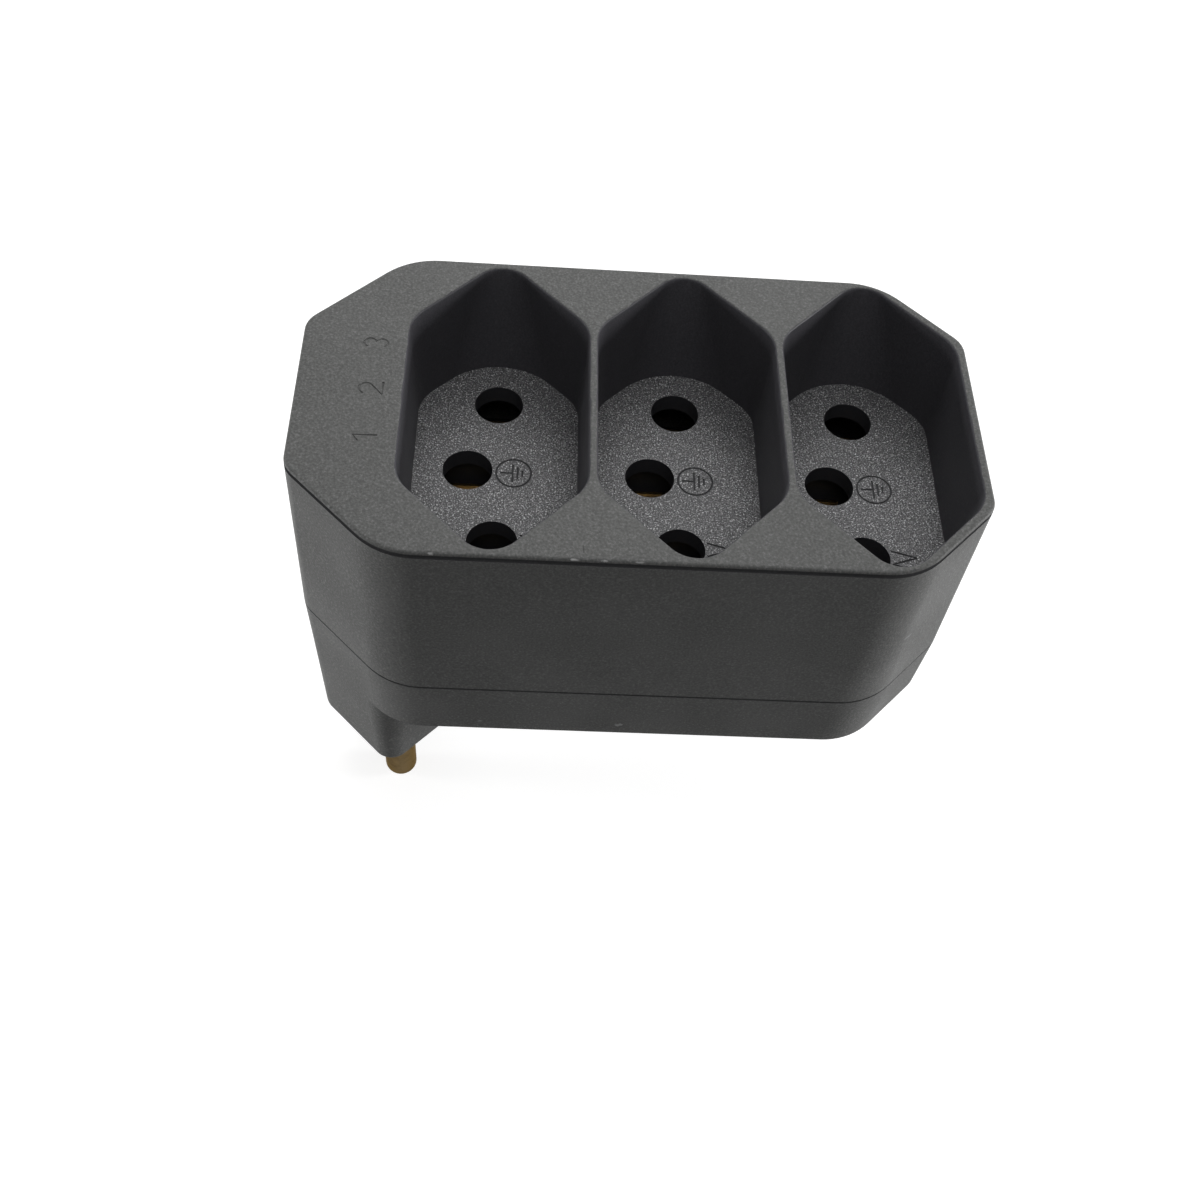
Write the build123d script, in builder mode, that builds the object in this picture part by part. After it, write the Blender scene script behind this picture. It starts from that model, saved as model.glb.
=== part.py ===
from build123d import *
import os
from math import degrees, atan, radians, tan

# A three-way plug adapter: three recessed outlets in a row, with a plug foot under one end.
# Lengths are millimetres. The frame sits on the plug's engagement face, midway between the line
# and neutral pins: +X runs along the body to its far end, +Y to the line side, +Z out of the outlets.

# Casing outline on the top face: a long octagon
CASE_LENGTH = 69.8
CASE_DEPTH = 39.6
LEFT_END = -8.7
LEFT_CHAMFER = 10.0
RIGHT_CHAMFER = 8.5
END_CORNER_R = 3.0
SIDE_CORNER_R = 8.0

# Heights above the plug's face, and how far the drafted walls lean
FOOT_HEIGHT = 13.1
PARTING_Z = 21.8
TOP_Z = 45.4
CASE_GROWTH = 0.36
COVER_TAPER_IN = 0.27
FOOT_TAPER_IN = 0.34
WALL = 2.0
TOP_WALL = 2.2
BOTTOM_WALL = 1.6
TOP_EDGE_R = 0.4
PARTING_BEVEL = 0.15
FOOT_EDGE_R = 0.3

# Outlets: a hexagonal well each, which leans in to a blunter floor with three holes
OUTLETS = 3
PITCH = 19.64
FIRST_OUTLET_X = 11.5
WELL_DEPTH = 11.5
WELL_HALF_WIDTH = 9.38
WELL_HALF_FLAT = 10.7
WELL_HALF_LENGTH = 20.3
WELL_SIDE_R = 4.5
WELL_TIP_R = 3.3
FLOOR_HALF_WIDTH = 8.82
FLOOR_HALF_FLAT = 9.8
FLOOR_HALF_LENGTH = 18.5
FLOOR_TIP_R = 8.0
WELL_WALL = 1.5
RIM_R = 0.3
FLOOR = 2.2
POLE_Y = 9.5
EARTH_X = -3.0
HOLE_R = 2.68

# Plug foot and its three shouldered pins
FOOT_TIP_R = 2.6
FOOT_WALL = 1.6
FACE_WALL = 2.5
PIN_R = 2.0
PIN_LENGTH = 16.0
PIN_END_R = 1.2
PIN_SEAT_R = 2.3
COLLAR_R = 3.2
COLLAR = 1.5
SPIGOT_R = 1.5
PEENED_R = 2.3
PEENED = 0.7
DOME = 0.6
RETAINER_T = 3.0
FIN_LENGTH = 11.5

# Strips that join each pole's pin to its three contacts
BAR_T = 0.8
BAR_Z = 22.4
BAR_WIDTH = 7.0
BAR_OVERHANG = 5.0
LEG_WIDTH = 5.0
LEG_OFFSET = 2.8
BEND_R = 0.8
TAB_END = 2.5
BAR_CORNER_R = 0.9
PATH_HOLE_R = 2.4

# Sprung contacts and the rivets that hold them to the strips
CLIP_T = 0.6
CLIP_WIDTH = 5.0
CLIP_TAB_WIDTH = 4.4
THROAT_R = 1.0
HEEL_R = 0.6
LEAF_TOP = 27.9
THROAT_Z = 26.2
THROAT_Y = 2.05
MOUTH_Y = 2.8
HEEL_Y = 2.7
RIVET_OFFSET = 5.2
RIVET_R = 1.0
RIVET_HEAD_R = 1.7
RIVET_HEAD = 0.8
RIVET_TAIL_R = 1.5
RIVET_TAIL = 0.5

# Ribs, screw bosses and screws
BARRIER_Y = 4.75
BARRIER_T = 1.2
CROSS_RIB_OFFSET = 4.6
CROSS_RIB_HALF_LENGTH = 13.2
BOSS_Y = 16.2
BOSS_R = 3.0
POST_R = 3.6
PILOT_R = 1.25
CLEARANCE_R = 1.6
HEAD_R = 2.6
HEAD_HEIGHT = 1.8
SINK_R = 2.8
SINK_DEPTH = 2.6
SCREW_R = 1.2
SCREW_LENGTH = 14.0
SCREW_POINT = 1.5
PILOT_SPARE = 1.0
HEAD_EDGE = 0.6
DRIVE_WIDTH = 0.7
DRIVE_SPAN = 3.0
DRIVE_DEPTH = 1.1
TONGUE = 0.85
TONGUE_HEIGHT = 1.3
PLAY = 0.1
RIVET_PLAY = 0.04

# Places worked out from the above
CASE_HEIGHT = TOP_Z - PARTING_Z
RIGHT_END = LEFT_END + CASE_LENGTH
FLOOR_TOP = TOP_Z - WELL_DEPTH
FLOOR_UNDER = FLOOR_TOP - FLOOR
COVER_INSIDE = FOOT_HEIGHT + BOTTOM_WALL
UNDERSIDE_GROWTH = CASE_GROWTH - COVER_TAPER_IN
FOOT_HALF_WIDTH = UNDERSIDE_GROWTH - LEFT_END
FOOT_HALF_FLAT = CASE_DEPTH / 2 - LEFT_CHAMFER + UNDERSIDE_GROWTH * tan(radians(22.5))
TAB_Z = FACE_WALL + COLLAR
TAB_TOP = TAB_Z + BAR_T
BAR_TOP = BAR_Z + BAR_T
CLIP_BASE_TOP = BAR_TOP + CLIP_T
BARRIER_UNDER = BAR_Z + PLAY
SEAT_Z = FOOT_HEIGHT + SINK_DEPTH

outlet_x = [FIRST_OUTLET_X + i * PITCH for i in range(OUTLETS)]
pole_holes = {
    "line": [(x, POLE_Y) for x in outlet_x],
    "neutral": [(x, -POLE_Y) for x in outlet_x],
    "earth": [(x + EARTH_X, 0) for x in outlet_x],
}
pin_places = {"line": (0, POLE_Y), "neutral": (0, -POLE_Y), "earth": (EARTH_X, 0)}
hole_places = [place for places in pole_holes.values() for place in places]
rivet_places = [(x - RIVET_OFFSET, y) for x, y in hole_places]
screw_places = [(x + PITCH / 2, y) for x in outlet_x[:-1] for y in (-BOSS_Y, BOSS_Y)]
cross_rib_x = [x + CROSS_RIB_OFFSET for x in outlet_x]


def draft(step, height):
    """The angle, in degrees, of a wall that leans in by step over height."""
    return degrees(atan(step / height))


def body_outline(grow=0.0):
    """The casing's long octagon with all its walls moved out by grow."""
    slide = grow * tan(radians(22.5))
    side = CASE_DEPTH / 2 + grow
    back = [
        (RIGHT_END + grow, CASE_DEPTH / 2 - RIGHT_CHAMFER + slide),
        (RIGHT_END - RIGHT_CHAMFER + slide, side),
        (LEFT_END + LEFT_CHAMFER - slide, side),
        (LEFT_END - grow, CASE_DEPTH / 2 - LEFT_CHAMFER + slide),
    ]
    front = [(x, -y) for x, y in reversed(back)]
    radii = [END_CORNER_R, SIDE_CORNER_R, SIDE_CORNER_R, END_CORNER_R]
    radii = [r + max(grow, -1.5) for r in radii + radii]
    with BuildSketch() as outline:
        with BuildLine():
            FilletPolyline(*back, *front, radius=radii, close=True)
        make_face()
    return outline.sketch


def hexagon(half_width, half_flat, half_length, side_r, tip_r):
    """A six-sided outline across the body: two flats along Y and a rounded tip at each end."""
    corners = [
        (half_width, half_flat),
        (0, half_length),
        (-half_width, half_flat),
        (-half_width, -half_flat),
        (0, -half_length),
        (half_width, -half_flat),
    ]
    radii = [side_r, tip_r, side_r, side_r, tip_r, side_r]
    with BuildSketch() as outline:
        with BuildLine():
            FilletPolyline(*corners, radius=radii, close=True)
        make_face()
    return outline.sketch


def well_outline(grow=0.0):
    """The mouth of an outlet's well, or the outside of a wall of thickness grow around it."""
    with BuildSketch() as outline:
        add(hexagon(WELL_HALF_WIDTH, WELL_HALF_FLAT, WELL_HALF_LENGTH, WELL_SIDE_R, WELL_TIP_R))
        if grow:
            offset(amount=grow)
    return outline.sketch


def floor_outline():
    """The floor of an outlet's well."""
    return hexagon(FLOOR_HALF_WIDTH, FLOOR_HALF_FLAT, FLOOR_HALF_LENGTH, WELL_SIDE_R, FLOOR_TIP_R)


def foot_outline(grow=0.0):
    """The plug foot's hexagon at its root, flush with the body's chamfered end."""
    slide = grow * tan(radians(22.5))
    half_width = FOOT_HALF_WIDTH + grow
    half_flat = FOOT_HALF_FLAT + slide
    round_r = END_CORNER_R + max(grow, -1.5)
    tip_r = FOOT_TIP_R + max(grow, -1.5)
    return hexagon(half_width, half_flat, half_flat + half_width, round_r, tip_r)


def ribs(places, length, width):
    """Upright ribs or slots as rectangles in a sketch, each centred on its place."""
    with Locations(*places):
        Rectangle(length, width)


# Front casing: a moulded shell with three hexagonal wells, whose floors carry the nine holes
with BuildPart() as front_casing:
    with BuildSketch(Plane.XY.offset(PARTING_Z)):
        add(body_outline(CASE_GROWTH))
    extrude(amount=CASE_HEIGHT, taper=draft(CASE_GROWTH, CASE_HEIGHT))
    fillet(front_casing.faces().sort_by(Axis.Z)[-1].edges(), TOP_EDGE_R)
    chamfer(front_casing.faces().sort_by(Axis.Z)[0].edges(), PARTING_BEVEL)

    # The room behind the wells
    with BuildSketch(Plane.XY.offset(PARTING_Z)):
        add(body_outline(CASE_GROWTH - WALL))
    extrude(amount=FLOOR_UNDER - PARTING_Z, mode=Mode.SUBTRACT)

    # The land at the plug end is cored out up to the top wall
    with BuildSketch(Plane.XY.offset(FLOOR_UNDER)):
        add(body_outline(-WALL))
        with Locations((FIRST_OUTLET_X, 0)):
            add(well_outline(WELL_WALL), mode=Mode.SUBTRACT)
        with Locations((FIRST_OUTLET_X - WELL_SIDE_R, 0)):
            Rectangle(CASE_LENGTH, 2 * CASE_DEPTH, align=(Align.MIN, Align.CENTER), mode=Mode.SUBTRACT)
    extrude(amount=TOP_Z - TOP_WALL - FLOOR_UNDER, mode=Mode.SUBTRACT)

    # Barrier ribs keep the poles apart, and reach up to the top wall beside the first well
    with BuildSketch(Plane.XY.offset(BARRIER_UNDER)):
        rib_left = LEFT_END + WALL + BARRIER_T / 2
        rib_right = RIGHT_END - WALL - BARRIER_T / 2
        middle = (rib_left + rib_right) / 2
        ribs([(middle, BARRIER_Y), (middle, -BARRIER_Y)], rib_right - rib_left, BARRIER_T)
    extrude(amount=FLOOR_UNDER - BARRIER_UNDER)
    with BuildSketch(Plane.XY.offset(FLOOR_UNDER)):
        land_right = FIRST_OUTLET_X - WELL_HALF_WIDTH - WELL_WALL / 2
        middle = (rib_left + land_right) / 2
        ribs([(middle, BARRIER_Y), (middle, -BARRIER_Y)], land_right - rib_left, BARRIER_T)
    extrude(amount=TOP_Z - TOP_WALL - FLOOR_UNDER)

    # Cross ribs hold the strips down
    with BuildSketch(Plane.XY.offset(BAR_TOP)):
        ribs([(x, 0) for x in cross_rib_x], BARRIER_T, 2 * CROSS_RIB_HALF_LENGTH)
    extrude(amount=FLOOR_UNDER - BAR_TOP)

    # Screw bosses hang between the wells
    with BuildSketch(Plane.XY.offset(PARTING_Z)):
        with Locations(*screw_places):
            Circle(BOSS_R)
    extrude(amount=FLOOR_UNDER - PARTING_Z)

    # The rebate that takes the rear cover's tongue
    with BuildSketch(Plane.XY.offset(PARTING_Z)):
        add(body_outline(CASE_GROWTH - WALL + TONGUE + PLAY))
        add(body_outline(CASE_GROWTH - WALL - PLAY), mode=Mode.SUBTRACT)
    extrude(amount=TONGUE_HEIGHT + PLAY, mode=Mode.SUBTRACT)
    with BuildSketch(Plane.XY.offset(PARTING_Z)):
        with Locations(*screw_places):
            Circle(PILOT_R)
    extrude(amount=SEAT_Z + SCREW_LENGTH + PILOT_SPARE - PARTING_Z, mode=Mode.SUBTRACT)

    # Wells, whose tips get blunter with depth, and the holes in their floors
    for x in outlet_x:
        with BuildSketch(Plane.XY.offset(TOP_Z)):
            with Locations((x, 0)):
                add(well_outline())
        with BuildSketch(Plane.XY.offset(FLOOR_TOP)):
            with Locations((x, 0)):
                add(floor_outline())
        loft(ruled=True, mode=Mode.SUBTRACT)
    with BuildSketch(Plane.XY.offset(FLOOR_TOP)):
        with Locations(*hole_places):
            Circle(HOLE_R)
    extrude(amount=-FLOOR, mode=Mode.SUBTRACT)

    # The wells' rims are rounded a little
    top_face = front_casing.faces().filter_by(GeomType.PLANE).sort_by(Axis.Z)[-1]
    fillet([edge for rim in top_face.inner_wires() for edge in rim.edges()], RIM_R)

# Rear cover: a shallow drafted tray with the hexagonal plug foot moulded on under one end
with BuildPart() as rear_cover:
    with BuildSketch(Plane.XY.offset(PARTING_Z)):
        add(body_outline(CASE_GROWTH))
    extrude(
        amount=FOOT_HEIGHT - PARTING_Z,
        taper=draft(COVER_TAPER_IN, PARTING_Z - FOOT_HEIGHT),
    )
    chamfer(rear_cover.faces().sort_by(Axis.Z)[-1].edges(), PARTING_BEVEL)
    with BuildSketch(Plane.XY.offset(FOOT_HEIGHT)):
        add(foot_outline())
    extrude(amount=-FOOT_HEIGHT, taper=draft(FOOT_TAPER_IN, FOOT_HEIGHT))
    fillet(rear_cover.faces().sort_by(Axis.Z)[0].edges(), FOOT_EDGE_R)

    # Hollow body and hollow foot
    with BuildSketch(Plane.XY.offset(COVER_INSIDE)):
        add(body_outline(UNDERSIDE_GROWTH - WALL))
    extrude(amount=PARTING_Z - COVER_INSIDE, mode=Mode.SUBTRACT)
    with BuildSketch(Plane.XY.offset(FACE_WALL)):
        add(foot_outline(-FOOT_TAPER_IN - FOOT_WALL))
    extrude(amount=COVER_INSIDE - FACE_WALL, mode=Mode.SUBTRACT)

    # Ribs that the strips lie on, and barriers between the poles
    with BuildSketch(Plane.XY.offset(COVER_INSIDE)):
        ribs([(x, 0) for x in cross_rib_x], BARRIER_T, 2 * CROSS_RIB_HALF_LENGTH)
        rib_left = FOOT_HALF_WIDTH
        middle = (rib_left + rib_right) / 2
        ribs([(middle, BARRIER_Y), (middle, -BARRIER_Y)], rib_right - rib_left, BARRIER_T)
    extrude(amount=BAR_Z - COVER_INSIDE)

    # Tongue around the rim, and a post with a sunk seat for each screw
    with BuildSketch(Plane.XY.offset(PARTING_Z)):
        add(body_outline(CASE_GROWTH - WALL + TONGUE))
        add(body_outline(CASE_GROWTH - WALL), mode=Mode.SUBTRACT)
    extrude(amount=TONGUE_HEIGHT)
    with BuildSketch(Plane.XY.offset(COVER_INSIDE)):
        with Locations(*screw_places):
            Circle(POST_R)
    extrude(amount=PARTING_Z - COVER_INSIDE)
    with BuildSketch(Plane.XY.offset(FOOT_HEIGHT)):
        with Locations(*screw_places):
            Circle(SINK_R)
    extrude(amount=SINK_DEPTH, mode=Mode.SUBTRACT)
    with BuildSketch(Plane.XY.offset(SEAT_Z)):
        with Locations(*screw_places):
            Circle(CLEARANCE_R)
    extrude(amount=PARTING_Z + TONGUE_HEIGHT - SEAT_Z, mode=Mode.SUBTRACT)

    # Pin holes through the plug's face
    with BuildSketch(Plane.XY):
        with Locations(*pin_places.values()):
            Circle(PIN_SEAT_R + RIVET_PLAY)
    extrude(amount=FACE_WALL, mode=Mode.SUBTRACT)

# Pin retainer: an insulating plate that keeps the pins down, with two fins between the poles
with BuildPart() as pin_retainer:
    with BuildSketch(Plane.XY.offset(TAB_TOP)):
        add(foot_outline(-FOOT_TAPER_IN - FOOT_WALL - 2 * PLAY))
    extrude(amount=RETAINER_T)
    with BuildSketch(Plane.XY.offset(TAB_TOP)):
        ribs([(0, BARRIER_Y), (0, -BARRIER_Y)], FIN_LENGTH, BARRIER_T)
    extrude(amount=BARRIER_UNDER - TAB_TOP)
    with BuildSketch(Plane.XY.offset(TAB_TOP)):
        legs = [(x + LEG_OFFSET + BAR_T / 2 - PLAY, y) for x, y in pin_places.values()]
        ribs(legs, BAR_T + 2 * BEND_R, LEG_WIDTH + 4 * PLAY)
    extrude(amount=RETAINER_T, mode=Mode.SUBTRACT)
    with BuildSketch(Plane.XY.offset(TAB_TOP)):
        with Locations(*pin_places.values()):
            Circle(PEENED_R + 2 * PLAY)
    extrude(amount=PEENED + 2 * PLAY, mode=Mode.SUBTRACT)
pin_retainer.part.label = "pin_retainer"

# Strips: folded brass, down into the foot at one end and flat under the outlets
bars = {}
for pole, (pin_x, pin_y) in pin_places.items():
    leg_x = pin_x + LEG_OFFSET + BAR_T / 2
    with BuildPart() as bar:
        with BuildSketch(Plane.XZ.offset(-pin_y)):
            with BuildLine():
                FilletPolyline(
                    (pin_x - TAB_END, TAB_Z + BAR_T / 2),
                    (leg_x, TAB_Z + BAR_T / 2),
                    (leg_x, BAR_Z + BAR_T / 2),
                    (leg_x + 2 * BEND_R, BAR_Z + BAR_T / 2),
                    radius=BEND_R,
                )
            trace(line_width=BAR_T)
        extrude(amount=LEG_WIDTH / 2, both=True)
        with BuildSketch(Plane.XY.offset(BAR_Z)):
            run_left = leg_x + 2 * BEND_R
            run_right = pole_holes[pole][-1][0] + BAR_OVERHANG
            with Locations(((run_left + run_right) / 2, pin_y)):
                RectangleRounded(run_right - run_left, BAR_WIDTH, BAR_CORNER_R)
            with Locations((run_left, pin_y)):
                Rectangle(2 * BAR_CORNER_R, LEG_WIDTH)
        extrude(amount=BAR_T)
        with BuildSketch(Plane.XY.offset(BAR_Z)):
            with Locations(*pole_holes[pole]):
                Circle(PATH_HOLE_R)
            with Locations(*[(x - RIVET_OFFSET, y) for x, y in pole_holes[pole]]):
                Circle(RIVET_R + RIVET_PLAY)
        extrude(amount=BAR_T, mode=Mode.SUBTRACT)
        with BuildSketch(Plane.XY.offset(TAB_Z)):
            with Locations((pin_x, pin_y)):
                Circle(SPIGOT_R + RIVET_PLAY)
        extrude(amount=BAR_T, mode=Mode.SUBTRACT)
    bar.part.label = f"{pole}_busbar"
    bars[pole] = bar.part

# Pins: turned brass, domed at the tip, with a collar inside the foot and a peened spigot
pins = {}
for pole, (pin_x, pin_y) in pin_places.items():
    with BuildPart() as pin:
        with BuildSketch(Plane.XZ):
            with BuildLine():
                Polyline(
                    (0, -PIN_LENGTH),
                    (PIN_R, -PIN_LENGTH),
                    (PIN_R, 0),
                    (PIN_SEAT_R, 0),
                    (PIN_SEAT_R, FACE_WALL),
                    (COLLAR_R, FACE_WALL),
                    (COLLAR_R, TAB_Z),
                    (SPIGOT_R, TAB_Z),
                    (SPIGOT_R, TAB_TOP),
                    (PEENED_R, TAB_TOP),
                    (PEENED_R * DOME, TAB_TOP + PEENED),
                    (0, TAB_TOP + PEENED),
                    close=True,
                )
            make_face()
        revolve(axis=Axis.Z)
        fillet(pin.edges().sort_by(Axis.Z)[0], PIN_END_R)
    pin.part.label = f"{pole}_pin"
    pins[pole] = pin.part.moved(Location((pin_x, pin_y, 0)))
    pins[pole].label = f"{pole}_pin"

# Contacts: two sprung leaves that close on a pin and flare at the mouth, on a drilled base
with BuildPart() as contact:
    with BuildSketch(Plane.YZ):
        with BuildLine():
            FilletPolyline(
                (-MOUTH_Y, LEAF_TOP),
                (-THROAT_Y, THROAT_Z),
                (-HEEL_Y, BAR_TOP + CLIP_T / 2),
                (HEEL_Y, BAR_TOP + CLIP_T / 2),
                (THROAT_Y, THROAT_Z),
                (MOUTH_Y, LEAF_TOP),
                radius=[THROAT_R, HEEL_R, HEEL_R, THROAT_R],
            )
        trace(line_width=CLIP_T)
    extrude(amount=CLIP_WIDTH / 2, both=True)
    with BuildSketch(Plane.XY.offset(BAR_TOP)):
        tab_left = -RIVET_OFFSET - CLIP_TAB_WIDTH / 2
        with Locations(((tab_left + CLIP_WIDTH / 2) / 2, 0)):
            SlotOverall(CLIP_WIDTH / 2 - tab_left, CLIP_TAB_WIDTH)
        Circle(PATH_HOLE_R, mode=Mode.SUBTRACT)
        with Locations((-RIVET_OFFSET, 0)):
            Circle(RIVET_R + RIVET_PLAY, mode=Mode.SUBTRACT)
    extrude(amount=CLIP_T)
    with BuildSketch(Plane.XY.offset(BAR_TOP)):
        Circle(PATH_HOLE_R)
    extrude(amount=CLIP_T, mode=Mode.SUBTRACT)

# Rivets: a domed head on the contact's base and a set tail under the strip
with BuildPart() as rivet:
    with BuildSketch(Plane.XZ):
        with BuildLine():
            Polyline(
                (0, BAR_Z - RIVET_TAIL),
                (RIVET_TAIL_R, BAR_Z - RIVET_TAIL),
                (RIVET_TAIL_R, BAR_Z),
                (RIVET_R, BAR_Z),
                (RIVET_R, CLIP_BASE_TOP),
                (RIVET_HEAD_R, CLIP_BASE_TOP),
                (RIVET_HEAD_R * DOME, CLIP_BASE_TOP + RIVET_HEAD),
                (0, CLIP_BASE_TOP + RIVET_HEAD),
                close=True,
            )
        make_face()
    revolve(axis=Axis.Z)
with BuildPart() as contact_rivets:
    with Locations(*rivet_places):
        add(rivet.part)

# Screws: pan heads sunk in the cover, with a cross recess; the thread's crest is left out
with BuildPart() as screw:
    with BuildSketch(Plane.XZ):
        with BuildLine():
            Polyline(
                (0, SEAT_Z - HEAD_HEIGHT),
                (HEAD_R - HEAD_EDGE, SEAT_Z - HEAD_HEIGHT),
                (HEAD_R, SEAT_Z - HEAD_HEIGHT + HEAD_EDGE),
                (HEAD_R, SEAT_Z),
                (SCREW_R, SEAT_Z),
                (SCREW_R, SEAT_Z + SCREW_LENGTH - SCREW_POINT),
                (0, SEAT_Z + SCREW_LENGTH),
                close=True,
            )
        make_face()
    revolve(axis=Axis.Z)
    with BuildSketch(Plane.XY.offset(SEAT_Z - HEAD_HEIGHT)):
        Rectangle(DRIVE_SPAN, DRIVE_WIDTH)
        Rectangle(DRIVE_WIDTH, DRIVE_SPAN)
    extrude(amount=DRIVE_DEPTH, mode=Mode.SUBTRACT)
with BuildPart() as casing_screws:
    with Locations(*screw_places):
        add(screw.part)

front_casing.part.label = "front_casing"
rear_cover.part.label = "rear_cover"
contact_rivets.part.label = "contact_rivets"
casing_screws.part.label = "casing_screws"

pieces = [front_casing.part, rear_cover.part, pin_retainer.part, contact_rivets.part, casing_screws.part]
pieces += list(bars.values()) + list(pins.values())
for pole, places in pole_holes.items():
    for number, (x, y) in enumerate(places, start=1):
        piece = contact.part.moved(Location((x, y, 0)))
        piece.label = f"{pole}_contact_{number}"
        pieces.append(piece)

os.makedirs("parts", exist_ok=True)
for piece in pieces:
    export_step(piece, f"parts/{piece.label}.step")
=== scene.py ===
# %% [markdown]
# # A three-way plug adapter
#
# The adapter is a dark, moulded body with three deep six-sided outlets in a row, and a plug foot
# under one end. The shapes come from the CAD frame. Blender adds what a moulder and a toolmaker add:
# the grain of the mould, the marks cut into it, brass and steel finishes, and a little wear.

# %% Load the frame
import bpy
import bmesh
import math
from mathutils import Matrix, Quaternion, Vector


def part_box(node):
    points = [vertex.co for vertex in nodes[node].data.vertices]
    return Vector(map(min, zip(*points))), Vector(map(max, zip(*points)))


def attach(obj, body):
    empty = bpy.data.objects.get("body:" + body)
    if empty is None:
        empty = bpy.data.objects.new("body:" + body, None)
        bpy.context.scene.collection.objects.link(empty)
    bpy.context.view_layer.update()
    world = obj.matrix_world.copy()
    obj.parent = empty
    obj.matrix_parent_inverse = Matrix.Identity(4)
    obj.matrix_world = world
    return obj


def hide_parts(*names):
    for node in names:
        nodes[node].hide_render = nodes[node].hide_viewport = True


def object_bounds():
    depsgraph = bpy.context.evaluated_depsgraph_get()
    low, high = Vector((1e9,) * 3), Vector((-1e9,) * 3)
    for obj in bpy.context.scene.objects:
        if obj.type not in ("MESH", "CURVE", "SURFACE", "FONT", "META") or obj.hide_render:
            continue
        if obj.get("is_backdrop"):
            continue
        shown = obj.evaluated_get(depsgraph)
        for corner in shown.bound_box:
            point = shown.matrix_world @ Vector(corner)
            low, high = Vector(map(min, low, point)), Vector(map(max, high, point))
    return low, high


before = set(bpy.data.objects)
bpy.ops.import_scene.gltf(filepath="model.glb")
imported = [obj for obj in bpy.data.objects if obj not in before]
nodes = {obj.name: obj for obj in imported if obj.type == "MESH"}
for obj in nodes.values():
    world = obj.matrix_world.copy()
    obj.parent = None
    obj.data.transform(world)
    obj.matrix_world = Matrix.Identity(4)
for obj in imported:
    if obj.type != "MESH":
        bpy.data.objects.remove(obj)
cad_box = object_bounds()
MM = 0.001
print("CAD nodes:", len(nodes), "size in mm:", [round(v / MM, 1) for v in cad_box[1] - cad_box[0]])

# %% [markdown]
# ## The camera
#
# The photograph looks down on the outlets from the neutral side, from about 15 cm away. Its place
# and its lens were solved from the outlines of the body and its wells, so the render can be laid
# over the photograph. A short distance gives the strong perspective of a phone's picture.

# %% Camera
FRAME_PX = 1200
FOCAL_PX = 1397.3
SENSOR_WIDTH = 36.0
CAMERA_PLACE = Vector((14.39, -96.39, 150.41)) * MM
LOOK_DOWN = math.radians(55.335)
LOOK_RIGHT = math.radians(5.962)
CAMERA_ROLL = math.radians(7.232)
CLIP_NEAR = 1 * MM
CLIP_FAR = 10.0


def scene_object(name, data):
    """A new object that carries this data, linked to the scene."""
    made = bpy.data.objects.new(name, data)
    bpy.context.scene.collection.objects.link(made)
    return made


camera = scene_object("camera", bpy.data.cameras.new("camera"))
camera.data.sensor_width = SENSOR_WIDTH
camera.data.lens = SENSOR_WIDTH * FOCAL_PX / FRAME_PX
camera.data.clip_start = CLIP_NEAR
camera.data.clip_end = CLIP_FAR
level = Vector((math.sin(LOOK_RIGHT), math.cos(LOOK_RIGHT), 0)) * math.cos(LOOK_DOWN)
look = level - Vector((0, 0, math.sin(LOOK_DOWN)))
turn = look.to_track_quat("-Z", "Y") @ Quaternion((0, 0, 1), CAMERA_ROLL)
camera.matrix_world = Matrix.LocRotScale(CAMERA_PLACE, turn, None)
bpy.context.scene.camera = camera
bpy.context.scene.view_settings.view_transform = "Standard"
print("lens:", round(camera.data.lens, 2), "mm")

# %% [markdown]
# ## The stage
#
# A pale floor under the pins, and soft light. To the camera the floor is pale and glows a little, so
# that it looks like a white studio table with a faint shadow, and it glows more further out, where
# the lamps don't reach. To the object it is dark, because the photograph shows no light from below.
# From underneath the floor is clear, so that the underside can be looked at. The light comes from
# above, from behind and from both sides: the top and the chamfers are bright, the front is dark.

# %% Helpers for materials
def new_material(name):
    """A material with nodes, its output node and its node tree, ready for a shader."""
    material = bpy.data.materials.new(name)
    material.use_nodes = True
    tree = material.node_tree
    tree.nodes.clear()
    output = tree.nodes.new("ShaderNodeOutputMaterial")
    return material, tree, output


def math_node(tree, operation, first, second=None, clamp=False):
    """A Math node; its two values are sockets or numbers."""
    node = tree.nodes.new("ShaderNodeMath")
    node.operation = operation
    node.use_clamp = clamp
    for index, value in enumerate((first, second)):
        if isinstance(value, bpy.types.NodeSocket):
            tree.links.new(value, node.inputs[index])
        elif value is not None:
            node.inputs[index].default_value = value
    return node.outputs[0]


def vector_node(tree, operation, first, second=None):
    """A Vector Math node on one or two sockets."""
    node = tree.nodes.new("ShaderNodeVectorMath")
    node.operation = operation
    tree.links.new(first, node.inputs[0])
    if second is not None:
        tree.links.new(second, node.inputs[1])
    return node


def object_place(tree):
    """Where a point is, in metres in the shared frame."""
    return tree.nodes.new("ShaderNodeTexCoord").outputs["Object"]


def seen_directly(tree):
    """1 for a ray from the camera, or one that a gloss or a clear surface sends on; 0 for soft light."""
    path = tree.nodes.new("ShaderNodeLightPath")
    mirrored = math_node(tree, "ADD", path.outputs["Is Glossy Ray"], path.outputs["Is Transmission Ray"])
    return math_node(tree, "ADD", path.outputs["Is Camera Ray"], mirrored, clamp=True)


# %% Floor
FLOOR_GAP = 0.2 * MM
FLOOR_HALF = 1.5
FLOOR_SEEN = (0.42, 0.42, 0.42, 1)
FLOOR_BOUNCE = (0.12, 0.12, 0.12, 1)
# How strongly the floor glows near the object and far from it, and at which distances in metres
GLOW_NEAR = 0.8
GLOW_FAR = 1.0
NEAR_REACH = 0.15
FAR_REACH = 0.5
WHITE = (1, 1, 1, 1)
SQUARE = [(-1, -1), (1, -1), (1, 1), (-1, 1)]


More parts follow.
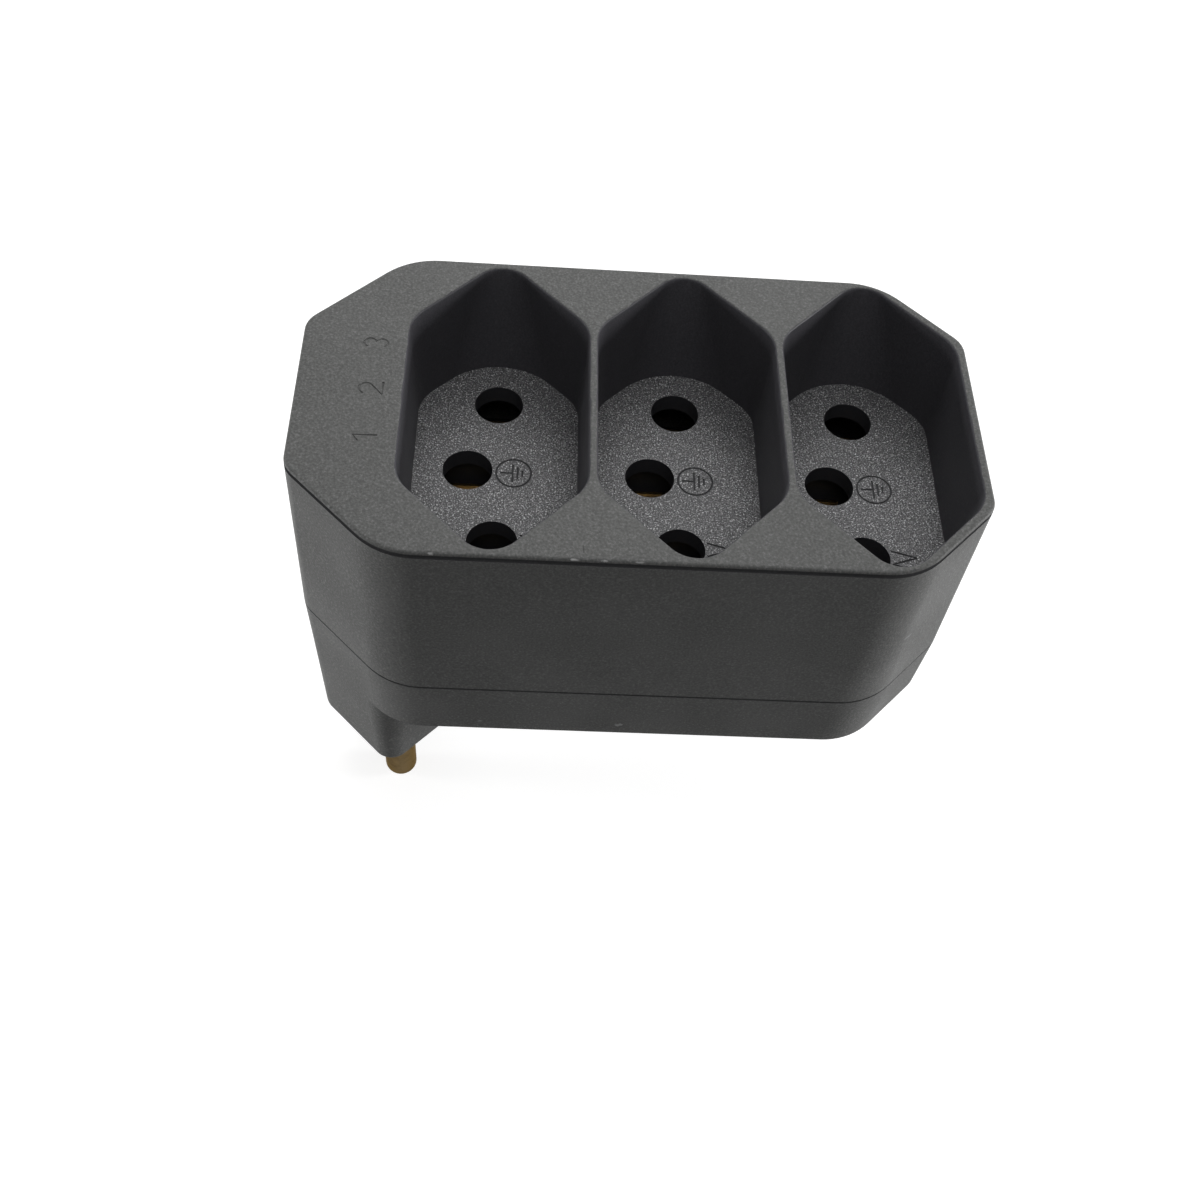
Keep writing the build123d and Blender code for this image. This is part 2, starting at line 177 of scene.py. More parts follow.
def floor_material():
    """A floor that looks white with a shadow on it, but sends little light up to the object."""
    material, tree, output = new_material("pale_floor")
    glow = tree.nodes.new("ShaderNodeEmission")
    glow.inputs["Color"].default_value = WHITE
    distance = vector_node(tree, "LENGTH", object_place(tree))
    reach = tree.nodes.new("ShaderNodeMapRange")
    reach.inputs["From Min"].default_value = NEAR_REACH
    reach.inputs["From Max"].default_value = FAR_REACH
    reach.inputs["To Min"].default_value = GLOW_NEAR
    reach.inputs["To Max"].default_value = GLOW_FAR
    tree.links.new(distance.outputs["Value"], reach.inputs["Value"])
    tree.links.new(reach.outputs["Result"], glow.inputs["Strength"])
    seen = tree.nodes.new("ShaderNodeBsdfDiffuse")
    seen.inputs["Color"].default_value = FLOOR_SEEN
    bright = tree.nodes.new("ShaderNodeAddShader")
    tree.links.new(seen.outputs[0], bright.inputs[0])
    tree.links.new(glow.outputs[0], bright.inputs[1])
    bounce = tree.nodes.new("ShaderNodeBsdfDiffuse")
    bounce.inputs["Color"].default_value = FLOOR_BOUNCE
    either = tree.nodes.new("ShaderNodeMixShader")
    tree.links.new(seen_directly(tree), either.inputs["Fac"])
    tree.links.new(bounce.outputs[0], either.inputs[1])
    tree.links.new(bright.outputs[0], either.inputs[2])
    clear = tree.nodes.new("ShaderNodeBsdfTransparent")
    geometry = tree.nodes.new("ShaderNodeNewGeometry")
    side = tree.nodes.new("ShaderNodeMixShader")
    tree.links.new(geometry.outputs["Backfacing"], side.inputs["Fac"])
    tree.links.new(either.outputs[0], side.inputs[1])
    tree.links.new(clear.outputs[0], side.inputs[2])
    tree.links.new(side.outputs[0], output.inputs["Surface"])
    return material


def floor_sheet():
    """A large square under the object."""
    mesh = bpy.data.meshes.new("floor")
    level_z = cad_box[0].z - FLOOR_GAP
    corners = [(x * FLOOR_HALF, y * FLOOR_HALF, level_z) for x, y in SQUARE]
    mesh.from_pydata(corners, [], [(0, 1, 2, 3)])
    sheet = scene_object("floor", mesh)
    mesh.materials.append(floor_material())
    sheet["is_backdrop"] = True
    return sheet


floor_sheet()
print("floor at", round((cad_box[0].z - FLOOR_GAP) / MM, 2), "mm")

# %% Light
WORLD_LIGHT = 0.15
# Each: name, place in mm, size in mm, power in watts
LAMPS = [
    ("high_middle", (30, 60, 430), 200, 0.24),
    ("high_right", (170, 170, 380), 200, 0.26),
    ("high_back", (30, 300, 330), 200, 0.96),
    ("high_front", (30, -160, 400), 200, 0.28),
    ("left_side", (-420, 0, 45), 100, 1.25),
    ("right_side", (480, 0, 75), 100, 1.8),
]


def white_world():
    """White to the camera, and a low even light on everything else."""
    world = bpy.data.worlds.new("studio")
    bpy.context.scene.world = world
    world.use_nodes = True
    tree = world.node_tree
    tree.nodes.clear()
    output = tree.nodes.new("ShaderNodeOutputWorld")
    background = tree.nodes.new("ShaderNodeBackground")
    background.inputs["Color"].default_value = WHITE
    strength = tree.nodes.new("ShaderNodeMapRange")
    strength.inputs["To Min"].default_value = WORLD_LIGHT
    strength.inputs["To Max"].default_value = 1.0
    tree.links.new(seen_directly(tree), strength.inputs["Value"])
    tree.links.new(strength.outputs["Result"], background.inputs["Strength"])
    tree.links.new(background.outputs[0], output.inputs["Surface"])


def soft_lamp(name, place, size, power):
    """A square area lamp that points at the middle of the object."""
    data = bpy.data.lights.new(name, "AREA")
    data.energy = power
    data.size = size * MM
    lamp = scene_object(name, data)
    lamp.location = Vector(place) * MM
    middle = (cad_box[0] + cad_box[1]) / 2
    lamp.rotation_euler = (middle - lamp.location).to_track_quat("-Z", "Y").to_euler()


white_world()
for lamp_values in LAMPS:
    soft_lamp(*lamp_values)
print("lamps:", [values[0] for values in LAMPS])

# %% [markdown]
# ## Shader groups
#
# Moulded plastic shows the surface of its mould: a fine, even grain on the outside, a coarse
# sparkling one on the floors of the wells, where the tool was spark-eroded. Brass and steel show the
# lathe. All of them wear at their edges. Each effect is a node group, made once and placed in the
# materials with other values. A group gives out numbers and colours only, never a shader.

# %% A helper for groups
def new_group(name, inputs, outputs):
    """A shader node group: inputs are (name, type, default), outputs are (name, type)."""
    group = bpy.data.node_groups.new(name, "ShaderNodeTree")
    for label, kind, value in inputs:
        socket = group.interface.new_socket(label, in_out="INPUT", socket_type=kind)
        if value is not None:
            socket.default_value = value
    for label, kind in outputs:
        group.interface.new_socket(label, in_out="OUTPUT", socket_type=kind)
    start = group.nodes.new("NodeGroupInput")
    end = group.nodes.new("NodeGroupOutput")
    return group, start, end


def mapped(tree, value, low, high, to_low=0.0, to_high=1.0, smooth=True):
    """A value carried from one range to another, held at its ends."""
    node = tree.nodes.new("ShaderNodeMapRange")
    node.interpolation_type = "SMOOTHSTEP" if smooth else "LINEAR"
    tree.links.new(value, node.inputs["Value"])
    for label, number in (("From Min", low), ("From Max", high), ("To Min", to_low), ("To Max", to_high)):
        if isinstance(number, bpy.types.NodeSocket):
            tree.links.new(number, node.inputs[label])
        else:
            node.inputs[label].default_value = number
    return node.outputs["Result"]


def noise(tree, vector, scale, detail=2.0, roughness=0.5):
    """A noise value at vector; scale is a number or a socket."""
    node = tree.nodes.new("ShaderNodeTexNoise")
    tree.links.new(vector, node.inputs["Vector"])
    node.inputs["Detail"].default_value = detail
    node.inputs["Roughness"].default_value = roughness
    if isinstance(scale, bpy.types.NodeSocket):
        tree.links.new(scale, node.inputs["Scale"])
    else:
        node.inputs["Scale"].default_value = scale
    return node.outputs["Fac"]


def group_in(tree, group, **values):
    """The group placed in a tree. An underscore stands for a space; a value is a socket or a number."""
    node = tree.nodes.new("ShaderNodeGroup")
    node.node_tree = group
    for key, value in values.items():
        socket = node.inputs[key.replace("_", " ")]
        if isinstance(value, bpy.types.NodeSocket):
            tree.links.new(value, socket)
        else:
            socket.default_value = value
    return node


print("helpers ready")

# %% [markdown]
# ### Mould grain
#
# A moulded grain is a field of small rounded bumps with flats between them. Noise gives the
# field, and a second, finer noise breaks it up. The group puts out the height for a Bump node, a
# mask for the tops of the bumps, which the materials polish and paint lighter as painted glints,
# and a grit that makes each grain a little lighter or darker than the next. A slow cloud keeps
# large faces from looking even.

# %% Group: mould grain
# How much finer the second noise is, and how much of the height comes from each
FINER = 2.7
COARSE_SHARE = 0.65
FINE_SHARE = 0.35
GRAIN_TOP = 0.75
GRIT_RANGE = (0.35, 0.65)
CLOUDS_PER_MM = 0.09
CLOUD_RANGE = (0.3, 0.7)


def grain_group():
    """Height, speckle, grit and cloud of a moulded grain."""
    group, start, end = new_group(
        "mould_grain",
        [
            ("Place", "NodeSocketVector", None),
            ("Grains per mm", "NodeSocketFloat", 3.0),
            ("Polish", "NodeSocketFloat", 0.6),
        ],
        [
            ("Height", "NodeSocketFloat"),
            ("Glint and polish", "NodeSocketFloat"),
            ("Grit", "NodeSocketFloat"),
            ("Cloud", "NodeSocketFloat"),
        ],
    )
    place = start.outputs["Place"]
    per_metre = math_node(group, "MULTIPLY", start.outputs["Grains per mm"], 1 / MM)
    coarse = noise(group, place, per_metre, detail=1.0, roughness=0.4)
    finer = math_node(group, "MULTIPLY", per_metre, FINER)
    fine = noise(group, place, finer, detail=1.0, roughness=0.5)
    share = math_node(group, "MULTIPLY", fine, FINE_SHARE)
    height = math_node(group, "ADD", math_node(group, "MULTIPLY", coarse, COARSE_SHARE), share)
    cloud = noise(group, place, CLOUDS_PER_MM / MM)
    group.links.new(height, end.inputs["Height"])
    # The tops of the bumps: polished, and painted lighter as painted glints
    group.links.new(mapped(group, height, start.outputs["Polish"], GRAIN_TOP), end.inputs["Glint and polish"])
    group.links.new(mapped(group, height, *GRIT_RANGE, smooth=False), end.inputs["Grit"])
    group.links.new(mapped(group, cloud, *CLOUD_RANGE), end.inputs["Cloud"])
    return group


mould_grain = grain_group()
print("group:", mould_grain.name)

# %% [markdown]
# ### Edge wear
#
# Edges rub first. The Bevel node gives the normal that a softened edge would have; where it
# differs from the true normal, there is an edge. Noise keeps the wear from being an even line.

# %% Group: edge wear
BEVEL_SAMPLES = 4
# How far the two normals agree where an edge starts, and where it is in full
EDGE_MATCH = (0.995, 0.88)
PATCH_BLUR = 0.12


def edge_group():
    """A mask of the edges, and the same mask broken up by patches of wear."""
    group, start, end = new_group(
        "edge_wear",
        [
            ("Place", "NodeSocketVector", None),
            ("Radius", "NodeSocketFloat", 0.3 * MM),
            ("Patches per mm", "NodeSocketFloat", 0.5),
            ("Spread", "NodeSocketFloat", 0.5),
        ],
        [("Edge", "NodeSocketFloat"), ("Wear", "NodeSocketFloat")],
    )
    bevel = group.nodes.new("ShaderNodeBevel")
    bevel.samples = BEVEL_SAMPLES
    group.links.new(start.outputs["Radius"], bevel.inputs["Radius"])
    geometry = group.nodes.new("ShaderNodeNewGeometry")
    match = vector_node(group, "DOT_PRODUCT", bevel.outputs[0], geometry.outputs["Normal"])
    edge = mapped(group, match.outputs["Value"], *EDGE_MATCH)
    per_metre = math_node(group, "MULTIPLY", start.outputs["Patches per mm"], 1 / MM)
    patches = noise(group, start.outputs["Place"], per_metre, detail=4.0, roughness=0.65)
    limit = math_node(group, "SUBTRACT", 1.0, start.outputs["Spread"])
    over = mapped(group, patches, limit, math_node(group, "ADD", limit, PATCH_BLUR))
    group.links.new(edge, end.inputs["Edge"])
    group.links.new(math_node(group, "MULTIPLY", edge, over), end.inputs["Wear"])
    return group


edge_wear = edge_group()
print("group:", edge_wear.name)

# %% [markdown]
# ### Marks of use
#
# A nick or a scuff sits in one place. This group gives a soft, ragged spot around a centre, with
# its own size along each axis. The materials add up a few of them where the photograph shows them.

# %% Group: a spot of wear
RAGS_PER_MM = 2.2
RAG_REACH = 3.0
NOISE_MIDDLE = 0.5
# Where a spot starts and where it is in full, as a share of its size from the centre
SPOT_RANGE = (1.05, 0.6)


def spot_group():
    """A mask for one soft, ragged spot."""
    group, start, end = new_group(
        "wear_spot",
        [
            ("Place", "NodeSocketVector", None),
            ("Centre", "NodeSocketVector", (0, 0, 0)),
            ("Size", "NodeSocketVector", (1, 1, 1)),
            ("Ragged", "NodeSocketFloat", 0.5),
        ],
        [("Spot", "NodeSocketFloat")],
    )
    offset = vector_node(group, "SUBTRACT", start.outputs["Place"], start.outputs["Centre"])
    share = vector_node(group, "DIVIDE", offset.outputs[0], start.outputs["Size"])
    length = vector_node(group, "LENGTH", share.outputs[0])
    rags = noise(group, start.outputs["Place"], RAGS_PER_MM / MM, detail=3.0, roughness=0.6)
    rough = math_node(group, "SUBTRACT", rags, NOISE_MIDDLE)
    ragged = math_node(group, "MULTIPLY", rough, start.outputs["Ragged"])
    shift = math_node(group, "MULTIPLY", ragged, RAG_REACH)
    distance = math_node(group, "ADD", length.outputs["Value"], shift)
    group.links.new(mapped(group, distance, *SPOT_RANGE), end.inputs["Spot"])
    return group


wear_spot = spot_group()
print("group:", wear_spot.name)

# %% [markdown]
# ### Tool marks on metal
#
# A turned pin has fine rings, and a stamped strip has faint lines along its length. Both are one
# noise with a scale of its own along each axis: fine across the marks, and drawn out along them.

# %% Group: tool marks
STREAK_RANGE = (0.4, 0.65)
STAINS_PER_MM = 0.45
STAIN_RANGE = (0.42, 0.66)


def tool_group():
    """Height and streaks of tool marks, and a mask of tarnish."""
    group, start, end = new_group(
        "tool_marks",
        [("Place", "NodeSocketVector", None), ("Lines per mm", "NodeSocketVector", (0.3, 0.3, 9.0))],
        [("Height", "NodeSocketFloat"), ("Streak", "NodeSocketFloat"), ("Tarnish", "NodeSocketFloat")],
    )
    stretch = vector_node(group, "MULTIPLY", start.outputs["Place"], start.outputs["Lines per mm"])
    lines = noise(group, stretch.outputs[0], 1 / MM, detail=3.0, roughness=0.6)
    group.links.new(lines, end.inputs["Height"])
    group.links.new(mapped(group, lines, *STREAK_RANGE), end.inputs["Streak"])
    stains = noise(group, start.outputs["Place"], STAINS_PER_MM / MM, detail=5.0, roughness=0.62)
    group.links.new(mapped(group, stains, *STAIN_RANGE), end.inputs["Tarnish"])
    return group


tool_marks = tool_group()
print("group:", tool_marks.name)

# %% [markdown]
# ## Plastic
#
# One recipe makes every plastic on the adapter: a colour with a faint cloud in it, the mould's grain
# as a bump, polished grain tops painted lighter as painted glints, pale rubbed edges, and where a seam
# is given, a thin dark line of painted shade along it. Only the values change. The Principled BSDF
# stays in each material, so its gloss can be read straight from it.

# %% The plastic recipe
PLASTIC_SHINE = 0.12
PLASTIC_WEAR = {"Radius": 0.25 * MM, "Patches_per_mm": 0.35, "Spread": 0.4}
CLOUD_SHARE = 0.25
RUBBED_SHARE = 0.5
# Steps of roughness: up and down with the cloud, and down on the tops of the grains
CLOUD_DULLS = 0.05
CLOUD_POLISHES = 0.03
TOP_POLISH = 0.1
SPOT_RAGGED = 0.5
# A thin line of painted shade along the seam: how far it reaches, how strong it is, and its colour
SEAM_REACH = 0.2 * MM
SEAM_SHADE_STRENGTH = 0.85
SEAM_SHADE_COLOUR = (0.012, 0.012, 0.013)


def blend_colour(tree, factor, first, second):
    """Two colours mixed by a mask; each is a socket or a colour."""
    node = tree.nodes.new("ShaderNodeMix")
    node.data_type = "RGBA"
    tree.links.new(factor, node.inputs["Factor"])
    for label, value in (("A", first), ("B", second)):
        socket = [s for s in node.inputs if s.name == label and s.type == "RGBA"][0]
        if isinstance(value, bpy.types.NodeSocket):
            tree.links.new(value, socket)
        else:
            socket.default_value = (*value, 1)
    return [s for s in node.outputs if s.type == "RGBA"][0]


def tint(tree, tone, colour, mask, share):
    """The tone moved towards a colour by the mask, and by no more than the share."""
    return blend_colour(tree, math_node(tree, "MULTIPLY", mask, share), tone, colour)


def add_bump(tree, shader, height, strength, distance):
    """A Bump node from a height into the shader's normal."""
    bump = tree.nodes.new("ShaderNodeBump")
    bump.inputs["Strength"].default_value = strength
    bump.inputs["Distance"].default_value = distance
    tree.links.new(height, bump.inputs["Height"])
    tree.links.new(bump.outputs["Normal"], shader.inputs["Normal"])


def plastic(name, colour, roughness, grains, depth, grit, glint_colour, polish, rubbed, marks=(), seam=None):
    """Moulded plastic. grit is how much grains differ in tone, glint_colour the colour painted on their
    tops as a glint.

    rubbed is the colour of worn edges, and marks are spots of wear: (centre in mm, size in mm,
    colour, strength). seam is the height in mm of a seam, along which the colour is darkened into a thin
    line of painted shade.
    """
    material, tree, output = new_material(name)
    shader = tree.nodes.new("ShaderNodeBsdfPrincipled")
    shader.inputs["Specular IOR Level"].default_value = PLASTIC_SHINE
    tree.links.new(shader.outputs[0], output.inputs["Surface"])
    place = object_place(tree)
    grain = group_in(tree, mould_grain, Place=place, Grains_per_mm=grains, Polish=polish)
    edges = group_in(tree, edge_wear, Place=place, **PLASTIC_WEAR)
    dark, light = [tuple(c * share for c in colour) for share in (1 - grit, 1 + grit)]
    tone = blend_colour(tree, grain.outputs["Grit"], dark, light)
    tone = tint(tree, tone, dark, grain.outputs["Cloud"], CLOUD_SHARE)
    # The tops of the grains are painted lighter, as painted glints
    tone = blend_colour(tree, grain.outputs["Glint and polish"], tone, glint_colour)
    tone = tint(tree, tone, rubbed, edges.outputs["Wear"], RUBBED_SHARE)
    for centre, size, mark_colour, strength in marks:
        spot = group_in(tree, wear_spot, Place=place, Ragged=SPOT_RAGGED)
        spot.inputs["Centre"].default_value = Vector(centre) * MM
        spot.inputs["Size"].default_value = Vector(size) * MM
        tone = tint(tree, tone, mark_colour, spot.outputs["Spot"], strength)
    # Along the seam the colour is darkened into a thin line of painted shade
    if seam is not None:
        height = tree.nodes.new("ShaderNodeSeparateXYZ")
        tree.links.new(place, height.inputs[0])
        off = math_node(tree, "ABSOLUTE", math_node(tree, "SUBTRACT", height.outputs["Z"], seam * MM))
        seam_shade_mask = mapped(tree, off, SEAM_REACH, SEAM_REACH / 2, 0.0, SEAM_SHADE_STRENGTH)
        tone = blend_colour(tree, seam_shade_mask, tone, SEAM_SHADE_COLOUR)
    tree.links.new(tone, shader.inputs["Base Color"])
    duller, glossier = roughness + CLOUD_DULLS, roughness - CLOUD_POLISHES
    gloss = mapped(tree, grain.outputs["Cloud"], 0.0, 1.0, duller, glossier)
    polished = math_node(tree, "MULTIPLY", grain.outputs["Glint and polish"], TOP_POLISH)
    tree.links.new(math_node(tree, "SUBTRACT", gloss, polished), shader.inputs["Roughness"])
    add_bump(tree, shader, grain.outputs["Height"], strength=1.0, distance=depth)
    return material


# %% [markdown]
# The shells share one resin, but the photograph shows it in five textures: the grained outside, the
# smoother walls of the wells, the sparkling floors, and the dark holes and grooves. The walls, the holes
# and the grooves get a darker colour than the outside, which is painted shade, and the floors' sparkle
# is painted glints on the tops of the grains. The nicks and scuffs stand where the photograph shows
# them. The insulating plate inside is a paler, harder plastic.

# %% Plastic materials
PALE_NICK = (0.42, 0.42, 0.42)
PALE_SCUFF = (0.25, 0.25, 0.26)
DARK_SCRATCH = (0.02, 0.02, 0.02)
TOP_FRONT_Y = -19.75
# Each: centre in mm, size in mm, colour, strength
CASING_MARKS = [
    ((6.2, TOP_FRONT_Y, 45.35), (0.4, 0.2, 0.16), PALE_NICK, 0.7),
    ((19.6, TOP_FRONT_Y, 45.35), (0.55, 0.22, 0.18), PALE_NICK, 0.85),
    ((22.4, TOP_FRONT_Y, 45.35), (0.35, 0.2, 0.16), PALE_NICK, 0.7),
    ((25.7, TOP_FRONT_Y, 45.35), (0.5, 0.2, 0.16), PALE_NICK, 0.5),
    ((20.4, -18.4, 45.4), (0.1, 0.5, 0.3), DARK_SCRATCH, 0.6),
    ((54.8, -17.95, 31.8), (0.75, 0.75, 0.22), PALE_SCUFF, 0.6),
]
COVER_MARKS = [
    ((26.2, -20.05, 14.9), (0.5, 0.3, 0.35), PALE_NICK, 0.8),
    ((10.8, -20.05, 14.7), (0.28, 0.3, 0.3), PALE_SCUFF, 0.7),
]
CHARCOAL = (0.092, 0.093, 0.091)
COVER_CHARCOAL = (0.085, 0.086, 0.084)
SEAM_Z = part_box("front_casing")[0].z / MM
RUBBED_GREY = (0.2, 0.2, 0.2)
# The casing and the cover are painted lighter on their grain tops as painted glints, and darker along
# their seam as painted shade
casing_plastic = plastic(
    "casing_plastic", CHARCOAL, roughness=0.5, grains=4.2, depth=0.03 * MM, grit=0.28,
    glint_colour=(0.15, 0.15, 0.15), polish=0.56, rubbed=RUBBED_GREY, marks=CASING_MARKS, seam=SEAM_Z,
)
cover_plastic = plastic(
    "cover_plastic", COVER_CHARCOAL, roughness=0.52, grains=4.2, depth=0.03 * MM, grit=0.26,
    glint_colour=(0.145, 0.145, 0.145), polish=0.56, rubbed=RUBBED_GREY, marks=COVER_MARKS, seam=SEAM_Z,
)
# The walls are smoother than the outside, and painted darker as painted shade in the wells
well_wall_shade_plastic = plastic(
    "well_wall_shade_plastic", (0.055, 0.054, 0.06), roughness=0.45, grains=5.0, depth=0.012 * MM, grit=0.15,
    glint_colour=(0.07, 0.07, 0.075), polish=0.6, rubbed=(0.11, 0.11, 0.11),
)
# The floors' bright grain-top colour is painted glints on the spark-eroded grain
floor_plastic = plastic(
    "well_floor_plastic", (0.1, 0.1, 0.103), roughness=0.38, grains=6.2, depth=0.07 * MM, grit=0.7,
    glint_colour=(0.75, 0.75, 0.76), polish=0.55, rubbed=RUBBED_GREY,
)
# The inside of the holes is painted darker, as painted shade
hole_shade_plastic = plastic(
    "hole_shade_plastic", (0.045, 0.045, 0.05), roughness=0.4, grains=6.0, depth=0.006 * MM, grit=0.1,
    glint_colour=(0.055, 0.055, 0.055), polish=0.6, rubbed=(0.06, 0.06, 0.06),
)
# The grooves of the floor marks and of the line under the top edge are painted dark, as painted shade
groove_shade_plastic = plastic(
    "groove_shade_plastic", (0.032, 0.032, 0.034), roughness=0.5, grains=6.0, depth=0.006 * MM, grit=0.1,
    glint_colour=(0.04, 0.04, 0.04), polish=0.6, rubbed=(0.04, 0.04, 0.04),
)
insulator_plastic = plastic(
    "insulator_plastic", (0.6, 0.58, 0.52), roughness=0.45, grains=4.0, depth=0.01 * MM, grit=0.06,
    glint_colour=(0.66, 0.64, 0.58), polish=0.6, rubbed=(0.7, 0.68, 0.62),
)
print("plastics:", [m.name for m in bpy.data.materials if m.name.endswith("plastic")])

# %% [markdown]
# ## Metal
#
# The pins are turned from brass rod and have gone dull with handling. The strips and the contacts
# are stamped from sheet, brighter because nobody touches them. The screws are zinc-plated steel.

# %% The metal recipe and its materials
METAL_WEAR = {"Radius": 0.15 * MM, "Patches_per_mm": 0.8, "Spread": 0.6}
STREAK_SHARE = 0.2
TARNISH_DULLS = 0.25
TOOL_STRENGTH = 0.6


def metal(name, colour, tarnish, roughness, lines, depth, tarnish_share, worn, glance=(1, 1, 1)):
    """Metal with tool marks, a tarnish in patches, and brighter edges.

    lines is how many marks there are per mm along each axis, and glance is the tint of what the
    metal mirrors at a flat angle.
    """
    material, tree, output = new_material(name)
    shader = tree.nodes.new("ShaderNodeBsdfPrincipled")
    tree.links.new(shader.outputs[0], output.inputs["Surface"])
    shader.inputs["Metallic"].default_value = 1.0
    shader.inputs["Specular Tint"].default_value = (*glance, 1)
    place = object_place(tree)
    tool = group_in(tree, tool_marks, Place=place, Lines_per_mm=lines)
    edges = group_in(tree, edge_wear, Place=place, **METAL_WEAR)
    dull = math_node(tree, "MULTIPLY", tool.outputs["Tarnish"], tarnish_share)
    tone = blend_colour(tree, dull, colour, tarnish)
    tone = tint(tree, tone, tarnish, tool.outputs["Streak"], STREAK_SHARE)
    tone = blend_colour(tree, edges.outputs["Wear"], tone, worn)
    tree.links.new(tone, shader.inputs["Base Color"])
    rough = mapped(tree, dull, 0.0, 1.0, roughness, roughness + TARNISH_DULLS)
    tree.links.new(rough, shader.inputs["Roughness"])
    add_bump(tree, shader, tool.outputs["Height"], TOOL_STRENGTH, depth)
    return material


TURNED = (0.4, 0.4, 11.0)
STAMPED = (0.35, 6.0, 6.0)
SPECKLED = (3.5, 3.5, 3.5)
DULL_GLANCE = (0.55, 0.45, 0.32)
pin_brass = metal(
    "pin_brass", (0.16, 0.122, 0.075), tarnish=(0.09, 0.068, 0.042), roughness=0.4, lines=TURNED,
    depth=0.012 * MM, tarnish_share=0.6, worn=(0.3, 0.21, 0.1), glance=DULL_GLANCE,
)
strip_brass = metal(
    "strip_brass", (0.5, 0.38, 0.2), tarnish=(0.25, 0.18, 0.09), roughness=0.32, lines=STAMPED,
    depth=0.008 * MM, tarnish_share=0.6, worn=(0.65, 0.52, 0.3),
)
rivet_brass = metal(
    "rivet_brass", (0.66, 0.47, 0.21), tarnish=(0.4, 0.26, 0.12), roughness=0.32, lines=SPECKLED,
    depth=0.008 * MM, tarnish_share=0.5, worn=(0.8, 0.6, 0.3),
)
screw_steel = metal(
    "screw_steel", (0.6, 0.6, 0.58), tarnish=(0.38, 0.37, 0.34), roughness=0.3, lines=SPECKLED,
    depth=0.008 * MM, tarnish_share=0.5, worn=(0.8, 0.8, 0.78),
)
print("metals:", [m.name for m in bpy.data.materials if m.name.endswith(("brass", "steel"))])

# %% [markdown]
# Most CAD pieces keep their shape and only get a material. The front casing and the screws are
# replaced further down, by pieces with more detail.

# %% Finishes for the CAD nodes
REPLACED_LATER = ("front_casing", "casing_screws")


def finish_node(name, material):
    """A new material in place of the CAD node's own."""
    mesh = nodes[name].data
    mesh.materials.clear()
    mesh.materials.append(material)


for name in nodes:
    if name.endswith("_pin"):
        finish_node(name, pin_brass)
    elif "_contact_" in name or name.endswith("_busbar"):
        finish_node(name, strip_brass)
finish_node("contact_rivets", rivet_brass)
finish_node("rear_cover", cover_plastic)
finish_node("pin_retainer", insulator_plastic)
print("finished CAD nodes:", len(nodes) - len(REPLACED_LATER))

# %% [markdown]
# ## The front casing, with its marks
#
# The mould cuts marks into the plastic: an earth sign beside each outlet's earth hole, an N beside
# each neutral hole, and plain numbers on the land at the plug end. They are real grooves, so the CAD
# casing is copied, and round-bottomed strokes are cut out of it with a Boolean. An engraver's
# single-line letters are easy to write as short paths, which is why no font is used. A fine line
# also runs around the body just under its top edge, where two parts of the mould meet.

# %% Sizes that the marks follow
TOP_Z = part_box("front_casing")[1].z / MM
WELL_DEPTH = 11.5
FLOOR_Z = TOP_Z - WELL_DEPTH
LEAF_HALF_WIDTH = 2.5
OUTLET_X = [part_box(f"line_contact_{i}")[1].x / MM - LEAF_HALF_WIDTH for i in (1, 2, 3)]
print("outlets at x =", [round(x, 2) for x in OUTLET_X], "floors at z =", round(FLOOR_Z, 2))

# %% Single-line marks
# Each: radius in mm, how far the bar's centre lies above the surface in mm, the material of the cut
LAND_GROOVE = (0.14, 0.04, casing_plastic)
# The floor marks are cut in the dark groove plastic, which is painted shade in the grooves
FLOOR_GROOVE = (0.11, 0.0, groove_shade_plastic)


def arc(centre, radius, start, end, steps=14):
    """Points along an arc, angles in degrees."""
    angles = [math.radians(start + (end - start) * i / steps) for i in range(steps + 1)]
    return [(centre[0] + radius * math.cos(a), centre[1] + radius * math.sin(a)) for a in angles]


# A digit or a letter is a list of strokes in a box 1 wide and 1 high, read along +X with +Y up
DIGITS = {
    1: [[(0.22, 0.78), (0.55, 1.0), (0.55, 0.0)]],
    2: [arc((0.45, 0.7), 0.3, 160, -38) + [(0.12, 0.0), (0.82, 0.0)]],
    3: [arc((0.42, 0.74), 0.26, 150, -90, 12) + arc((0.42, 0.24), 0.24, 90, -150, 12)[1:]],
}
# Three bars, because a single one would pinch at the letter's sharp turns
LETTER_N = [
    [(0.0, 0.0), (0.29, 1.0)],
    [(0.29, 1.0), (0.64, 0.0)],
    [(0.64, 0.0), (0.93, 1.0)],
]
EARTH_R = 1.88
EARTH_STEPS = 48
# In mm: the sign's centre from the outlet's middle, and its strokes from that centre
EARTH_CENTRE = (1.95, -0.2)
EARTH_SIGN = [
    [(-1.45, 0), (-0.1, 0)],
    [(-0.1, -1.25), (-0.1, 1.25)],
    [(0.42, -0.85), (0.42, 0.85)],
    [(0.94, -0.45), (0.94, 0.45)],
]
N_HEIGHT = 2.7
N_FOOT = (5.56, -11.0)
DIGIT_HEIGHT = 2.4
DIGIT_FOOT_X = 0.05
DIGIT_Y = (-7.0, -0.6, 5.8)


def reading_back(strokes, foot, height):
    """Strokes turned to read from front to back, with their tops towards the plug end."""
    return [[(foot[0] - y * height, foot[1] + x * height) for x, y in stroke] for stroke in strokes]


